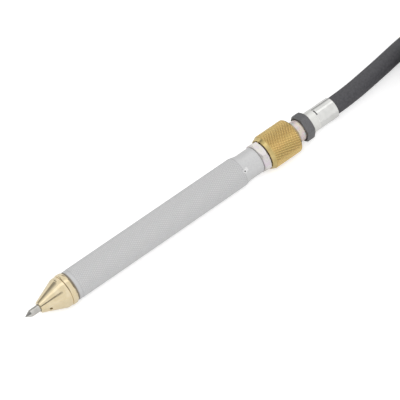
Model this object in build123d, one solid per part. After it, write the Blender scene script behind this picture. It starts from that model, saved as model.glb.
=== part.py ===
from build123d import *
import math
import os

# Pneumatic engraving pen. It lies along X with its point towards -X and its knob resting on z = 0.
# Sizes are in millimetres. A station is a distance behind the stylus point along the pen's axis,
# and an angle about that axis is counted from straight up towards -Y, in degrees.

# Fits
slide_gap = 0.03  # radial, between pieces that slide or turn on each other
seat_gap = 0.02  # radial, between pieces that are pressed or screwed together
end_gap = 0.1  # axial, at the ends of moving pieces
room_gap = 0.4  # radial, round moving pieces that touch nothing

# Stylus: a carbide rod in a steel anvil, drawn back by a spring
stylus_diameter = 3.0
stylus_point_length = 2.45
stylus_tip_diameter = 0.3
stylus_reach = 6.7  # stands out of the nose
stylus_stroke = 1.5
anvil_collar_diameter = 5.8
anvil_collar_length = 1.5
anvil_wall = 0.45  # round the rod's socket
anvil_overhang = 5.2  # reaches into the cylinder
anvil_socket_depth = 3.0
spring_wire = 0.5
spring_length = 8.0
spring_turns = 6
spring_clearance = 0.2  # round the rod
bush_length = 1.9
bush_wall = 0.6

# Nose
nose_tip_diameter = 4.8
nose_lip = 0.6
nose_lip_gap = 0.15  # radial, round the rod
nose_cone_length = 10.1
nose_land_diameter = 13.25
nose_land_length = 2.1
nose_groove_width = 0.3
nose_groove_depth = 0.3
nose_collar_diameter = 13.7
nose_collar_length = 2.6
nose_edge_round = 0.5
nose_thread_length = 9.4
nose_thread_wall = 0.71
exhaust_hole_diameter = 1.1
exhaust_hole_setback = 3.3  # behind the nose's front face
exhaust_hole_angle = 80
nose_gasket_thickness = 0.6
nose_gasket_recess = 0.25

# Barrel
barrel_diameter = 13.0
barrel_wall = 1.5
barrel_grip_length = 85.85
barrel_chamfer_length = 2.65
barrel_neck_step = 0.7
barrel_neck_length = 6.7
barrel_edge_chamfer = 0.25
air_passage_diameter = 6.0
thread_runout = 0.5
lock_screw_diameter = 1.6
lock_screw_setback = 2.3  # ahead of the neck
lock_screw_angle = 41
lock_screw_recess = 0.25
lock_screw_socket = 0.7
lock_screw_socket_depth = 0.6

# Cylinder, piston and head
guide_length = 6.0
guide_vent_diameter = 0.6
liner_wall = 1.5
liner_port_diameter = 1.2
exhaust_port_setback = 16.0  # behind the liner's front end
inlet_port_setback = 30.0
seal_section = 0.8  # thickness of the rubber rings
liner_seal_setback = 2.6
piston_length = 22.0
piston_stroke = 15.0
piston_groove_length = 5.0
piston_groove_depth = 0.5
piston_bore = 1.4
head_spigot_length = 4.0
head_flange_length = 3.0
head_slot_diameter = 1.6
stack_washer_height = 1.2
stack_washer_thickness = 0.6
stack_washer_width = 1.6

# Throttle
stem_thread_diameter = 8.0
stem_thread_length = 11.3
stem_gasket_thickness = 0.2
stem_gasket_width = 1.55
stem_journal_diameter = 8.0
stem_bore = 3.8
stem_port_diameter = 1.8
stem_port_spacing = 6.4
stem_wall = 4.0  # between the two blind bores
hex_flats = 12.2
hex_length = 3.25
hex_chamfer = 0.45
throttle_turn = 100  # degrees from shut to open
knob_diameter = 15.4
knob_length = 16.65
knob_front_length = 1.6  # of the sloping front edge
knob_front_depth = 0.85
knob_front_round = 0.35
knob_back_chamfer = 1.5  # its length
knob_back_depth = 2.2
knob_seal_setback = 2.6  # from the knob's ends to the rubber rings
pocket_depth = 0.9
pocket_overlap = 0.8  # past the ports
pocket_width = 50  # degrees
stop_pin_diameter = 1.2
stop_pin_inset = 0.8  # from the hex's flats
stop_pin_angle = 180
stop_pin_seat = 2.0
stop_pin_reach = 1.2
stop_slot_clearance = 0.25

# Air inlet
nipple_diameter = 9.5
nipple_neck_length = 3.15
nipple_thread_length = 1.6
nipple_thread_depth = 0.45
nipple_bore = 4.8
stem_spigot_diameter = 6.0
stem_spigot_length = 3.3
filter_diameter = 4.4
filter_length = 2.8
nipple_washer_thickness = 0.5
nut_flats = 11.0
nut_length = 4.2
nut_chamfer = 0.55
tail_flange_length = 0.7
tail_journal_diameter = 6.8
tail_collar_length = 3.75
tail_bore = 3.0
tail_reach = 8.9  # barbed stem inside the hose
barb_count = 3
barb_depth = 0.25
ferrule_length = 9.7
ferrule_wall = 0.65
hose_seat_gap = 0.05
slot_width = 0.5
slot_setback = 0.2
slot_spread = 32  # degrees, centred on the top

# Hose
hose_diameter = 8.0
hose_bore = 5.0

# Hank of the put-away hose: loops drawn in at the waist, each climbing onto the last along its upper run
hank_x = 181.5  # of its waist
loop_count = 4
fold_radius = 24.5  # of the innermost fold
loop_gap = 1.3  # between loops side by side
layer_gap = 0.5
run_half = 37.5  # from the waist to where a fold begins
waist_pull = 8.0
tie_thickness = 1.2
tie_width = 8.0
tie_clearance = 0.35

# Plug on the hose's far end
plug_ferrule_length = 11.5
plug_ferrule_wall = 1.0
plug_hex_flats = 12.0
plug_hex_length = 6.0
plug_neck_diameter = 7.2
plug_neck_length = 3.4
plug_ring_diameter = 9.2
plug_ring_length = 6.0
plug_groove_diameter = 7.0
plug_groove_length = 2.5
plug_nose_diameter = 8.4
plug_nose_length = 9.5
plug_nose_chamfer = 0.8
plug_bore = 4.0
plug_rest_gap = 0.5  # above the hank's top strands

# Stations of the stylus, the nose and what they hold
nose_front = stylus_reach
bush_front = nose_front + nose_lip
bush_back = bush_front + bush_length
anvil_front = bush_back + spring_length
anvil_collar_back = anvil_front + anvil_collar_length
guide_front = anvil_collar_back + end_gap / 2
guide_back = guide_front + guide_length
anvil_back = guide_back + anvil_overhang
stop_step = anvil_front - stylus_stroke - end_gap
nose_land = nose_front + nose_cone_length
nose_collar = nose_land + nose_land_length
nose_back = nose_collar + nose_collar_length
barrel_front = nose_back + nose_gasket_thickness
nose_thread_back = barrel_front + nose_thread_length

# Stations of the cylinder
liner_front = guide_back
piston_front = anvil_back + end_gap
piston_back = piston_front + piston_length
head_front = piston_back + piston_stroke + end_gap
liner_back = head_front + head_spigot_length
head_back = liner_back + head_flange_length
bore_end = head_back + stack_washer_height

# Stations of the barrel's rear, the throttle and the inlet
barrel_shoulder = barrel_front + barrel_grip_length
neck_front = barrel_shoulder + barrel_chamfer_length
barrel_back = neck_front + barrel_neck_length
thread_front = barrel_back - stem_thread_length
lock_station = neck_front - lock_screw_setback
hex_front = barrel_back + stem_gasket_thickness
hex_back = hex_front + hex_length
knob_front = hex_back + end_gap
knob_back = knob_front + knob_length
nipple_front = knob_back + end_gap
port_middle = (knob_front + knob_back) / 2
stem_back = nipple_front + stem_spigot_length
nut_front = nipple_front + nipple_neck_length
nipple_back = nut_front + nipple_thread_length
tail_front = nipple_back + nipple_washer_thickness
tail_flange_back = tail_front + tail_flange_length
nut_back = nut_front + nut_length
collar_front = nut_back + end_gap / 2
ferrule_front = collar_front + tail_collar_length
ferrule_back = ferrule_front + ferrule_length

overall_length = ferrule_back
axis_height = knob_diameter / 2
anvil_shank_diameter = stylus_diameter + 2 * anvil_wall
barrel_bore = barrel_diameter - 2 * barrel_wall
barrel_neck_diameter = barrel_diameter - 2 * barrel_neck_step
nose_counterbore = barrel_bore - 2 * (seat_gap + nose_thread_wall)
liner_diameter = nose_counterbore - 2 * seat_gap
liner_bore = liner_diameter - 2 * liner_wall
stop_pin_radius = hex_flats / 2 - stop_pin_inset
ferrule_bore = hose_diameter + 2 * hose_seat_gap
ferrule_diameter = ferrule_bore + 2 * ferrule_wall
tail_stem_diameter = hose_bore - 2 * hose_seat_gap
knob_bore = stem_journal_diameter + 2 * slide_gap
hose_low = tie_thickness + tie_clearance + hose_diameter / 2  # height of the hose's axis on the floor
loop_step = hose_diameter + loop_gap
layer_step = hose_diameter + layer_gap
fold_out = fold_radius + loop_step
lead_fold = fold_out + loop_step / 8  # where the hose comes in beside the first loop


def at(station):
    """X of a station."""
    return station - overall_length / 2


def turned(outline, rounds=()):
    """Solid turned about the X axis from (station, diameter) corners, some of them rounded."""
    profile = make_face(Polyline(*[(at(station), width / 2) for station, width in outline], close=True))
    for (station, width), radius in rounds:
        corner = profile.vertices().sort_by_distance((at(station), width / 2))[0]
        profile = fillet(corner, radius)
    return revolve(profile, Axis.X)


def ring(front, back, outer, inner):
    """Plain ring between two stations."""
    return turned([(front, inner), (front, outer), (back, outer), (back, inner)])


def sector(front, back, outer, inner, middle, spread):
    """Piece of a ring that covers spread degrees about the angle middle."""
    corners = [(front, inner), (front, outer), (back, outer), (back, inner)]
    profile = make_face(Polyline(*[(at(station), width / 2) for station, width in corners], close=True))
    return Rot(middle - spread / 2 + 90, 0, 0) * revolve(profile, Axis.X, spread)


def radial_pin(station, angle, diameter, inner, outer):
    """Round pin along a radius, between two distances from the axis."""
    pin = Pos(0, 0, (inner + outer) / 2) * Cylinder(diameter / 2, outer - inner)
    return Pos(at(station), 0, 0) * Rot(angle, 0, 0) * pin


def hex_bar(front, back, flats, chamfer, turn=0):
    """Hex bar with chamfered corners at both ends, its flats up and down before it is turned."""
    outline = RegularPolygon(flats / 2, 6, major_radius=False, rotation=turn)
    bar = Plane.YZ.offset(at(front)) * extrude(outline, back - front)
    corners = 2 * flats / math.sqrt(3)
    rim = flats - chamfer / 2
    slope = (corners - rim) / 2 * math.tan(math.radians(30))
    return bar & turned([
        (front, 0), (front, rim), (front + slope, corners),
        (back - slope, corners), (back, rim), (back, 0),
    ])


def seal_ring(station, surface_diameter):
    """Rubber ring lying in a groove, level with the surface round it."""
    middle = (surface_diameter - seal_section) / 2
    return Pos(at(station), 0, 0) * Rot(0, 90, 0) * Torus(middle, seal_section / 2)


def seal_groove(station, surface_diameter):
    """Groove for a rubber ring, a little wider and deeper than the ring."""
    half = seal_section / 2 + seat_gap
    floor = surface_diameter - 2 * (seal_section + seat_gap)
    return ring(station - half, station + half, surface_diameter + seal_section, floor)


def biarc(start, start_way, end, end_way):
    """Two tangent arcs from one point and direction to another."""
    span = end - start
    both = start_way + end_way
    square = 2 * (1 - start_way.dot(end_way))
    reach = span.dot(both)
    if square < 1e-6:
        length = span.dot(span) / (2 * reach)
    else:
        length = (math.sqrt(reach * reach + square * span.dot(span)) - reach) / square
    first = start + start_way * length
    second = end - end_way * length
    middle = (first + second) * 0.5
    way = (second - first).normalized()
    return [Edge.make_tangent_arc(start, start_way, middle), Edge.make_tangent_arc(middle, way, end)]


def biarcs(stops):
    """Tangent arcs through a list of (point, direction)."""
    edges = []
    for (start, start_way), (end, end_way) in zip(stops, stops[1:]):
        edges += biarc(start, start_way, end, end_way)
    return edges


def points_along(edges, spacing):
    """Points along a row of edges, with the length up to each."""
    points = []
    travelled = 0
    for edge in edges:
        steps = math.ceil(edge.length / spacing)
        points += [(edge @ (step / steps), travelled + edge.length * step / steps) for step in range(steps)]
        travelled += edge.length
    return points


def least_gap(edges, diameter):
    """Least gap between the turns of a wound tube, measured on points along it."""
    points = points_along(edges, diameter / 5)
    apart = 3 * diameter
    gaps = [
        (place - other).length
        for index, (place, length) in enumerate(points)
        for other, further in points[index + 1:]
        if further - length > apart
    ]
    return min(gaps) - diameter


def wound(edges, outer, inner=0):
    """Round tube, or wire, swept along a row of tangent edges."""
    path = Wire(edges)
    section = Circle(outer / 2)
    if inner:
        section -= Circle(inner / 2)
    return sweep(Plane(origin=path @ 0, z_dir=path % 0) * section, path)


def stylus_point():
    shank = stylus_diameter
    rod_back = anvil_front + anvil_socket_depth
    return turned([
        (0, 0), (0, stylus_tip_diameter), (stylus_point_length, shank), (rod_back, shank), (rod_back, 0),
    ])


def stylus_anvil():
    socket = stylus_diameter + 2 * seat_gap
    shank = anvil_shank_diameter
    body = turned([
        (anvil_front, 0), (anvil_front, anvil_collar_diameter), (anvil_collar_back, anvil_collar_diameter),
        (anvil_collar_back, shank), (anvil_back, shank), (anvil_back, 0),
    ])
    return body - ring(anvil_front, anvil_front + anvil_socket_depth + seat_gap, socket, 0)


def stylus_spring():
    radius = stylus_diameter / 2 + spring_clearance + spring_wire / 2
    first = at(bush_back) + spring_wire / 2 + end_gap / 2
    last = at(anvil_front) - spring_wire / 2 - end_gap / 2
    rise = (last - first) / (4 * spring_turns)
    stops = []
    for quarter in range(4 * spring_turns + 1):
        angle = math.radians(90 * quarter)
        place = Vector(first + rise * quarter, radius * math.cos(angle), radius * math.sin(angle))
        way = Vector(rise * 2 / math.pi, -radius * math.sin(angle), radius * math.cos(angle)).normalized()
        stops.append((place, way))
    edges = biarcs(stops)
    print("spring: least gap", round(least_gap(edges, spring_wire), 2))
    return wound(edges, spring_wire)


def stylus_bush():
    bore = stylus_diameter + 2 * slide_gap
    return ring(bush_front, bush_back, bore + 2 * bush_wall, bore)


def nose_cone():
    rod_hole = stylus_diameter + 2 * nose_lip_gap
    bush_seat = stylus_diameter + 2 * (slide_gap + bush_wall + seat_gap)
    spring_room = stylus_diameter + 2 * (spring_clearance + spring_wire + room_gap)
    collar_room = anvil_collar_diameter + 2 * room_gap
    thread = barrel_bore - 2 * seat_gap
    groove = nose_land_diameter - 2 * nose_groove_depth
    groove_front = nose_collar - nose_groove_width
    body = turned(
        [
            (nose_front, 0), (nose_front, nose_tip_diameter), (nose_land, nose_land_diameter),
            (groove_front, nose_land_diameter), (groove_front, groove), (nose_collar, groove),
            (nose_collar, nose_collar_diameter), (nose_back, nose_collar_diameter), (nose_back, thread),
            (nose_thread_back, thread), (nose_thread_back, 0),
        ],
        rounds=[
            ((nose_front, nose_tip_diameter), nose_edge_round / 2),
            ((nose_land, nose_land_diameter), 4 * nose_edge_round),
            ((nose_collar, nose_collar_diameter), nose_edge_round),
            ((nose_back, nose_collar_diameter), nose_edge_round / 2),
        ],
    )
    body -= ring(nose_front, bush_front, rod_hole, 0)
    body -= ring(bush_front, bush_back, bush_seat, 0)
    body -= ring(bush_back, stop_step, spring_room, 0)
    body -= ring(stop_step, guide_front, collar_room, 0)
    body -= ring(guide_front, nose_thread_back, nose_counterbore, 0)
    station = nose_front + exhaust_hole_setback
    for angle in (exhaust_hole_angle, exhaust_hole_angle + 180):
        body -= radial_pin(station, angle, exhaust_hole_diameter, 0, nose_land_diameter)
    return body


def nose_gasket():
    return ring(nose_back, barrel_front, barrel_diameter - 2 * nose_gasket_recess, barrel_bore)


def anvil_guide():
    bore = anvil_shank_diameter + 2 * slide_gap
    body = ring(guide_front, guide_back, liner_diameter, bore)
    vent = Rot(0, 90, 0) * Cylinder(guide_vent_diameter / 2, guide_length)
    for angle in range(0, 360, 90):
        body -= Rot(angle, 0, 0) * Pos(at(guide_front + guide_length / 2), 0, bore / 2) * vent
    return body


def cylinder_liner():
    body = ring(liner_front, liner_back, liner_diameter, liner_bore)
    body -= seal_groove(liner_front + liner_seal_setback, liner_diameter)
    for setback, turn in ((exhaust_port_setback, 0), (inlet_port_setback, 45)):
        for angle in range(turn, 360, 90):
            body -= radial_pin(liner_front + setback, angle, liner_port_diameter, 0, liner_diameter)
    return body


def liner_seal_ring():
    return seal_ring(liner_front + liner_seal_setback, liner_diameter)


def piston():
    width = liner_bore - 2 * slide_gap
    waist = width - 2 * piston_groove_depth
    middle = (piston_front + piston_back) / 2
    body = ring(piston_front, piston_back, width, 0)
    body -= ring(middle - piston_groove_length / 2, middle + piston_groove_length / 2, width + 1, waist)
    body -= ring(middle, piston_back, piston_bore, 0)
    return body - radial_pin(middle, 0, piston_bore, -width, width)


def cylinder_head():
    flange = barrel_bore - 2 * seat_gap
    spigot = liner_bore - 2 * seat_gap
    body = turned([
        (head_front, 0), (head_front, spigot), (liner_back, spigot), (liner_back, flange),
        (head_back, flange), (head_back, 0),
    ])
    slot = Rot(0, 90, 0) * Cylinder(head_slot_diameter / 2, head_flange_length)
    for angle in range(0, 360, 90):
        body -= Rot(angle, 0, 0) * Pos(at(liner_back + head_flange_length / 2), 0, flange / 2) * slot
    return body


def stack_washer():
    outer = barrel_bore - 2 * seat_gap
    inner = outer - 2 * stack_washer_width
    lift = stack_washer_height - stack_washer_thickness
    return turned([
        (head_back + lift, inner), (head_back + stack_washer_height, inner),
        (head_back + stack_washer_thickness, outer), (head_back, outer),
    ])


def barrel():
    edge = barrel_edge_chamfer
    body = turned([
        (barrel_front, 0), (barrel_front, barrel_diameter - 2 * edge), (barrel_front + edge, barrel_diameter),
        (barrel_shoulder, barrel_diameter), (neck_front, barrel_neck_diameter),
        (barrel_back - edge, barrel_neck_diameter), (barrel_back, barrel_neck_diameter - 2 * edge),
        (barrel_back, 0),
    ])
    body -= ring(barrel_front, bore_end, barrel_bore, 0)
    body -= ring(bore_end, thread_front, air_passage_diameter, 0)
    body -= ring(thread_front - thread_runout, barrel_back, stem_thread_diameter, 0)
    hole = lock_screw_diameter + 2 * seat_gap
    return body - radial_pin(lock_station, lock_screw_angle, hole, 0, barrel_diameter)


def barrel_lock_screw():
    slope = (barrel_diameter - barrel_neck_diameter) / 2 / barrel_chamfer_length
    surface = barrel_diameter / 2 - slope * (lock_station - barrel_shoulder)
    top = surface - lock_screw_recess
    screw = radial_pin(lock_station, lock_screw_angle, lock_screw_diameter, stem_thread_diameter / 2, top)
    socket_floor = top - lock_screw_socket_depth
    return screw - radial_pin(lock_station, lock_screw_angle, lock_screw_socket, socket_floor, top)


def stem_gasket():
    inner = stem_thread_diameter + 2 * seat_gap
    return ring(barrel_back, hex_front, inner + 2 * stem_gasket_width, inner)


def stem_seal_stations():
    return knob_front + knob_seal_setback, knob_back - knob_seal_setback


def throttle_stem():
    thread = stem_thread_diameter - 2 * seat_gap
    spigot = stem_spigot_diameter
    body = hex_bar(hex_front, hex_back, hex_flats, hex_chamfer)
    body += ring(thread_front, hex_front, thread, 0)
    body += ring(hex_back, nipple_front, stem_journal_diameter, 0)
    body += ring(nipple_front, stem_back, spigot, 0)
    body -= ring(thread_front, port_middle - stem_wall / 2, stem_bore, 0)
    body -= ring(port_middle + stem_wall / 2, stem_back, stem_bore, 0)
    body -= ring(stem_back - filter_length, stem_back, filter_diameter + 2 * seat_gap, 0)
    for station in (port_middle - stem_port_spacing / 2, port_middle + stem_port_spacing / 2):
        body -= radial_pin(station, 0, stem_port_diameter, 0, stem_journal_diameter)
    for station in stem_seal_stations():
        body -= seal_groove(station, stem_journal_diameter)
    hole = stop_pin_diameter + 2 * seat_gap
    return body - stop_pin(hole, hex_back - stop_pin_seat, hex_back)


def stop_pin(diameter, front, back):
    """Round bar along X at the stop pin's place."""
    bar = Rot(0, 90, 0) * Cylinder(diameter / 2, back - front)
    return Rot(stop_pin_angle, 0, 0) * Pos((at(front) + at(back)) / 2, 0, stop_pin_radius) * bar


def throttle_stop_pin():
    return stop_pin(stop_pin_diameter, hex_back - stop_pin_seat, knob_front + stop_pin_reach)


def throttle_seal(station):
    return seal_ring(station, stem_journal_diameter)


def throttle_knob():
    face = knob_diameter - 2 * knob_front_depth
    body = turned(
        [
            (knob_front, knob_bore), (knob_front, face), (knob_front + knob_front_length, knob_diameter),
            (knob_back - knob_back_chamfer, knob_diameter),
            (knob_back, knob_diameter - 2 * knob_back_depth), (knob_back, knob_bore),
        ],
        rounds=[
            ((knob_front, face), knob_front_round),
            ((knob_front + knob_front_length, knob_diameter), 3 * knob_front_round),
        ],
    )
    half = stem_port_spacing / 2 + stem_port_diameter / 2 + pocket_overlap
    pocket = knob_bore + 2 * pocket_depth
    body -= sector(port_middle - half, port_middle + half, pocket, 0, -throttle_turn, pocket_width)
    width = stop_pin_diameter + 2 * stop_slot_clearance
    floor = knob_front + stop_pin_reach + end_gap
    middle = stop_pin_angle - throttle_turn / 2
    outer = 2 * stop_pin_radius + width
    body -= sector(knob_front, floor, outer, outer - 2 * width, middle, throttle_turn)
    end = Rot(0, 90, 0) * Cylinder(width / 2, floor - knob_front)
    for angle in (stop_pin_angle, stop_pin_angle - throttle_turn):
        body -= Rot(angle, 0, 0) * Pos((at(knob_front) + at(floor)) / 2, 0, stop_pin_radius) * end
    return body


def inlet_filter():
    return ring(stem_back - filter_length, stem_back, filter_diameter, 0)


def inlet_nipple():
    thread = nipple_diameter - 2 * nipple_thread_depth
    body = turned([
        (nipple_front, 0), (nipple_front, nipple_diameter), (nut_front, nipple_diameter), (nut_front, thread),
        (nipple_back, thread), (nipple_back, 0),
    ])
    body -= ring(nipple_front, stem_back, stem_spigot_diameter + 2 * seat_gap, 0)
    return body - ring(stem_back, nipple_back, nipple_bore, 0)


def nipple_washer():
    outer = nipple_diameter - 2 * nipple_thread_depth
    return ring(nipple_back, tail_front, outer, nipple_bore)


def union_nut():
    thread = nipple_diameter - 2 * nipple_thread_depth + 2 * seat_gap
    lip = tail_journal_diameter + 2 * seat_gap
    body = hex_bar(nut_front, nut_back, nut_flats, nut_chamfer, turn=30)
    body -= ring(nut_front, tail_flange_back + seat_gap, thread, 0)
    return body - ring(tail_flange_back, nut_back, lip, 0)


def barbs(front, back, outer):
    """Barbed stem between two stations, its barbs sloping towards the far end."""
    pitch = (back - front) / barb_count
    low = outer - 2 * barb_depth
    outline = [(front, 0)]
    for index in range(barb_count):
        outline += [(front + index * pitch, outer), (front + (index + 1) * pitch, low)]
    return turned(outline + [(back, 0)])


def hose_tail():
    flange = nipple_diameter - 2 * nipple_thread_depth
    body = ring(tail_front, tail_flange_back, flange, 0)
    body += ring(tail_flange_back, ferrule_front, tail_journal_diameter, 0)
    body += barbs(ferrule_front, ferrule_front + tail_reach, tail_stem_diameter)
    return body - ring(tail_front, ferrule_front + tail_reach, tail_bore, 0)


def tail_collar():
    return ring(collar_front, ferrule_front, ferrule_diameter, tail_journal_diameter + 2 * seat_gap)


def crimp_ferrule():
    body = ring(ferrule_front, ferrule_back, ferrule_diameter, ferrule_bore)
    front = ferrule_front + slot_setback
    return body - sector(front, front + slot_width, ferrule_diameter + 1, 0, 0, slot_spread)


def hank_fold(step):
    """Radius of the fold at a step of an eighth of a loop: in over one loop, and out over the next."""
    return fold_radius + loop_step * abs(1 - step % 16 / 8)


def smooth(share):
    """Smooth rise from 0 to 1."""
    share = min(share, 1)
    return share * share * (3 - 2 * share)


def hank_height(step):
    """Height of the hose's axis: a loop climbs one layer along its upper run, the end to the plug."""
    last = 8 * loop_count
    if step > last - 2:
        below = hank_height(last - 2)
        return below + (plug_height() - below) * smooth((step - last + 2) / 2)
    climbed = (step + 2) // 8 - 1
    return hose_low + layer_step * max(climbed + smooth((step + 2) % 8 / 4), 0)


def plug_height():
    """Height of the plug's axis, lying on the hank's top strands."""
    top = hose_low + (loop_count - 1) * layer_step + hose_diameter / 2
    return top + plug_rest_gap + plug_hex_flats / 2


def hank_middle():
    """Y of the hank's long axis, so that the hose comes in beside the first loop."""
    return hose_route()[-1][1] - lead_fold


def hank_point(step):
    """Place of the hose at a step of an eighth of a loop, from the upper waist round by the far fold."""
    fold = hank_fold(step)
    waist = fold - waist_pull
    places = [
        (0, waist), (run_half, fold), (run_half + fold, 0), (run_half, -fold),
        (0, -waist), (-run_half, -fold), (-run_half - fold, 0), (-run_half, fold),
    ]
    x, y = places[step % 8]
    return Vector(hank_x + x, hank_middle() + y, hank_height(step))


def hank_way(step):
    """Direction of the hose at a step, with the slope of its climb."""
    x, y = [(1, 0), (1, 0), (0, -1), (-1, 0), (-1, 0), (-1, 0), (0, 1), (1, 0)][step % 8]
    if step in (0, 8 * loop_count):
        return Vector(x, y, 0)
    before = hank_point(step - 1)
    after = hank_point(step + 1)
    slope = (after.Z - before.Z) / ((after - hank_point(step)).length + (hank_point(step) - before).length)
    return Vector(x, y, slope).normalized()


def hose_route():
    """Corners of the hose's free stretch, from inside the ferrule to the hank."""
    return [
        (at(ferrule_front + hose_seat_gap), 0, axis_height),
        (at(ferrule_back) + 7, 0, axis_height),
        (at(ferrule_back) + 23, 1.8, axis_height),
        (at(ferrule_back) + 34, 3.5, axis_height - 0.5),
        (at(ferrule_back) + 42, 5.2, hose_low + 0.6),
        (at(ferrule_back) + 49.5, 6.2, hose_low),
        (hank_x - run_half - hose_diameter, 6.2, hose_low),
    ]


def air_hose():
    corners = [Vector(*place) for place in hose_route()]
    radii = []
    for before, corner, after in zip(corners, corners[1:], corners[2:]):
        turn = (corner - before).get_angle(after - corner)
        shorter = min((corner - before).length, (after - corner).length)
        radii.append(0.45 * shorter / math.tan(math.radians(turn / 2)))
    path = FilletPolyline(*corners, radius=radii)
    print("hose bend radii", [round(radius) for radius in radii])
    tube = wound(path.edges().sort_by(Axis.X), hose_diameter, hose_bore)
    section = math.pi / 4 * (hose_diameter**2 - hose_bore**2)
    share = tube.volume / (section * path.length)
    print("hose length", round(path.length, 1), "volume share", round(share, 4))
    return tube


def hose_end():
    """X of the hose's far end, inside the plug's ferrule."""
    return hank_x + hose_diameter + plug_ferrule_length


def hose_hank():
    start = Vector(*hose_route()[-1])
    shoulder = Vector(hank_x - run_half, start.Y, start.Z)
    along = Vector(1, 0, 0)
    last = 8 * loop_count
    stops = [(shoulder, along)] + [(hank_point(step), hank_way(step)) for step in range(last + 1)]
    tip = Vector(hose_end(), hank_point(last).Y, hank_point(last).Z)
    edges = [Edge.make_line(start, shoulder)] + biarcs(stops) + [Edge.make_line(hank_point(last), tip)]
    length = sum(edge.length for edge in edges)
    tube = wound(edges, hose_diameter, hose_bore)
    section = math.pi / 4 * (hose_diameter**2 - hose_bore**2)
    print("hank length", round(length, 1), "volume share", round(tube.volume / (section * length), 4))
    print("hank: least gap", round(least_gap(edges, hose_diameter), 2))
    bends = [edge.radius for edge in edges if edge.geom_type == GeomType.CIRCLE]
    print("hank: tightest bend", round(min(bends), 1))
    return tube


def hank_tie():
    """Strap round all the strands at the waist."""
    last = 8 * loop_count
    strands = [hank_point(0), hank_point(last), hank_point(last - 4), hank_point(4)]
    hulls = []
    for grow in (tie_clearance, tie_clearance + tie_thickness):
        rounds = Sketch() + [Pos(place.Y, place.Z) * Circle(hose_diameter / 2 + grow) for place in strands]
        hulls.append(make_hull(rounds.edges()))
    return Plane.YZ.offset(hank_x - tie_width / 2) * extrude(hulls[1] - hulls[0], tie_width)


def on_plug(piece):
    """Moves a piece, made from the hose's far end along the pen's axis, to the plug."""
    last = hank_point(8 * loop_count)
    return Pos(hose_end() - at(0), last.Y, last.Z) * piece


def plug_ferrule():
    outer = ferrule_bore + 2 * plug_ferrule_wall
    return on_plug(ring(-plug_ferrule_length, 0, outer, ferrule_bore))


def air_plug():
    hex_back_end = plug_hex_length
    neck = hex_back_end + plug_neck_length
    ring_end = neck + plug_ring_length
    groove = ring_end + plug_groove_length
    tip = groove + plug_nose_length
    chamfer = plug_nose_chamfer
    body = hex_bar(0, hex_back_end, plug_hex_flats, nut_chamfer)
    body += turned([
        (hex_back_end, 0), (hex_back_end, plug_neck_diameter), (neck, plug_neck_diameter),
        (neck, plug_ring_diameter), (ring_end, plug_ring_diameter), (ring_end, plug_groove_diameter),
        (groove, plug_groove_diameter), (groove, plug_nose_diameter), (tip - chamfer, plug_nose_diameter),
        (tip, plug_nose_diameter - 2 * chamfer), (tip, 0),
    ])
    body += mirror(barbs(0, tail_reach, tail_stem_diameter), about=Plane.YZ.offset(at(0)))
    body -= ring(0, tip, plug_bore, 0)
    return on_plug(body - ring(-tail_reach, 0, tail_bore, 0))


seal_front, seal_back = stem_seal_stations()
pen_pieces = {
    "stylus_point": stylus_point(),
    "stylus_anvil": stylus_anvil(),
    "stylus_spring": stylus_spring(),
    "stylus_bush": stylus_bush(),
    "nose_cone": nose_cone(),
    "nose_gasket": nose_gasket(),
    "anvil_guide": anvil_guide(),
    "cylinder_liner": cylinder_liner(),
    "liner_seal_ring": liner_seal_ring(),
    "piston": piston(),
    "cylinder_head": cylinder_head(),
    "stack_washer": stack_washer(),
    "barrel": barrel(),
    "barrel_lock_screw": barrel_lock_screw(),
    "stem_gasket": stem_gasket(),
    "throttle_stem": throttle_stem(),
    "throttle_seal_front": throttle_seal(seal_front),
    "throttle_seal_rear": throttle_seal(seal_back),
    "throttle_stop_pin": throttle_stop_pin(),
    "throttle_knob": throttle_knob(),
    "inlet_filter": inlet_filter(),
    "inlet_nipple": inlet_nipple(),
    "nipple_washer": nipple_washer(),
    "union_nut": union_nut(),
    "hose_tail": hose_tail(),
    "tail_collar": tail_collar(),
    "crimp_ferrule": crimp_ferrule(),
}
hose_pieces = {
    "air_hose": air_hose(),
    "hose_hank": hose_hank(),
    "hank_tie": hank_tie(),
    "plug_ferrule": plug_ferrule(),
    "air_plug": air_plug(),
}

os.makedirs("parts", exist_ok=True)
for name, piece in pen_pieces.items():
    export_step(Pos(0, 0, axis_height) * piece, f"parts/{name}.step")
for name, piece in hose_pieces.items():
    export_step(piece, f"parts/{name}.step")
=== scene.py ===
import bmesh
import bpy
import math
from mathutils import Matrix, Vector


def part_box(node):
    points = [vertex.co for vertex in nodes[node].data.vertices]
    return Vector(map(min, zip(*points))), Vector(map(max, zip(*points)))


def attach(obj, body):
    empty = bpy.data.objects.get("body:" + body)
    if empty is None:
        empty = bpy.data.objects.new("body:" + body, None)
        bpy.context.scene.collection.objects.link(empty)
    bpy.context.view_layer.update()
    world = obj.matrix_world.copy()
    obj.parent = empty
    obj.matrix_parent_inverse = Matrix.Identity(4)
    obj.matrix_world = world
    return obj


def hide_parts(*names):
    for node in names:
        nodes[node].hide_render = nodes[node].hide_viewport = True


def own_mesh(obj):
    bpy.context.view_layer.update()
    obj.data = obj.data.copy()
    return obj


# Looks of the pneumatic engraving pen, in metres, round the frame that the solids give.
# The pen lies along X with its point towards -X. Angles about its axis are counted from +Z towards -Y.

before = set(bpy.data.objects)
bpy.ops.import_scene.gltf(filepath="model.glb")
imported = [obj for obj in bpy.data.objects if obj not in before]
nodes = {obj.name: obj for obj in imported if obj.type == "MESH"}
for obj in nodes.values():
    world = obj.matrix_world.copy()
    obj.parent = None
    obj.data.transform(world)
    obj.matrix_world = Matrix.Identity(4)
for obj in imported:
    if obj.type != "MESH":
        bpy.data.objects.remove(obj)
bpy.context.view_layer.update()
mm = 0.001

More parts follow.
